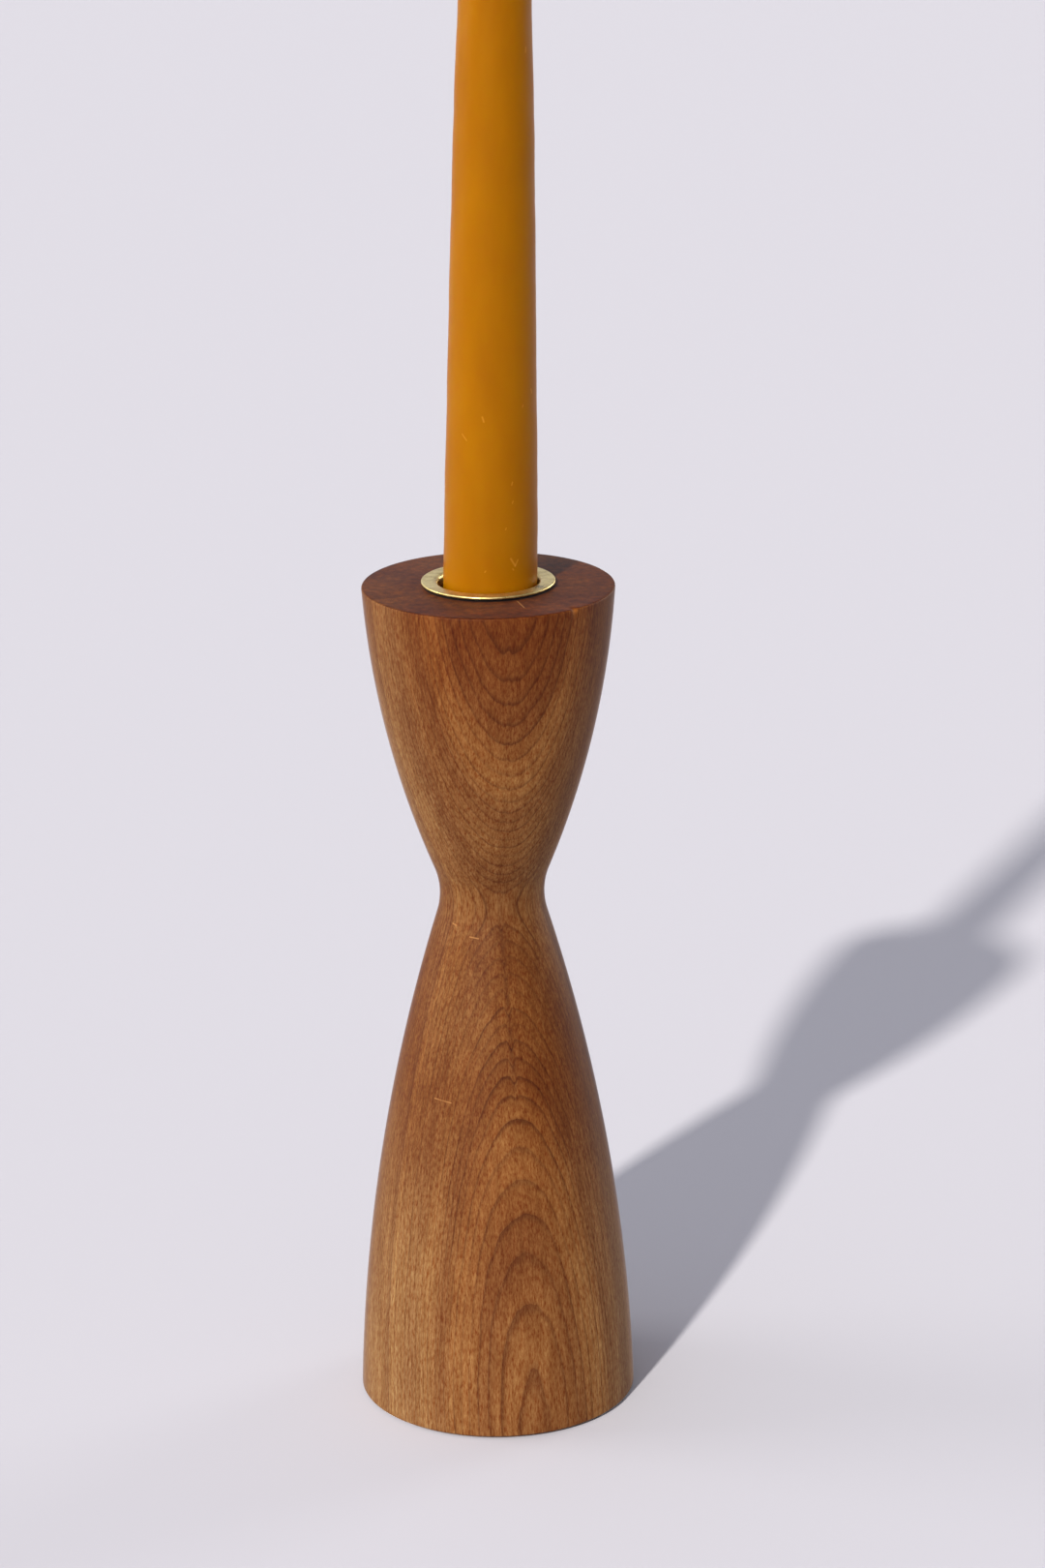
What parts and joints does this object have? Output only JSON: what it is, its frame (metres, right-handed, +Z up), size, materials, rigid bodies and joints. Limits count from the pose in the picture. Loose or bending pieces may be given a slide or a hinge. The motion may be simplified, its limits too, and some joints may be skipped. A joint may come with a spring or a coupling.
{
  "type": "wooden candlestick",
  "caption": "Turned wooden candlestick, an hourglass with a flat top, holding a tapered candle in a brass cup.",
  "frame": {"origin": "middle of the foot, on the surface that the candlestick stands on", "axes": "+Z up along the turning axis, -Y to the front, +X to the side that the candle leans to"},
  "size_m": [0.067, 0.067, 0.4472],
  "materials": {
    "cherry_wood": "oiled satin",
    "felt": "pressed wool felt",
    "brass": "pressed, lightly tarnished",
    "wax": "smooth dipped wax",
    "wick_cotton": "waxed braided cotton"
  },
  "bodies": {
    "stand": {"turned_body": "cherry_wood", "felt_foot": "felt"},
    "cup": {"candle_cup": "brass"},
    "taper": {"candle": "wax", "wick": "wick_cotton"}
  },
  "joints": [
    {"name": "cup_lift", "type": "slide", "parent": "stand", "child": "cup", "axis": [0, 0, 1], "range_m": [0, 0.03]},
    {"name": "candle_lift", "type": "slide", "parent": "cup", "child": "taper", "axis": [0, 0, 1], "range_m": [0, 0.05]}
  ]
}
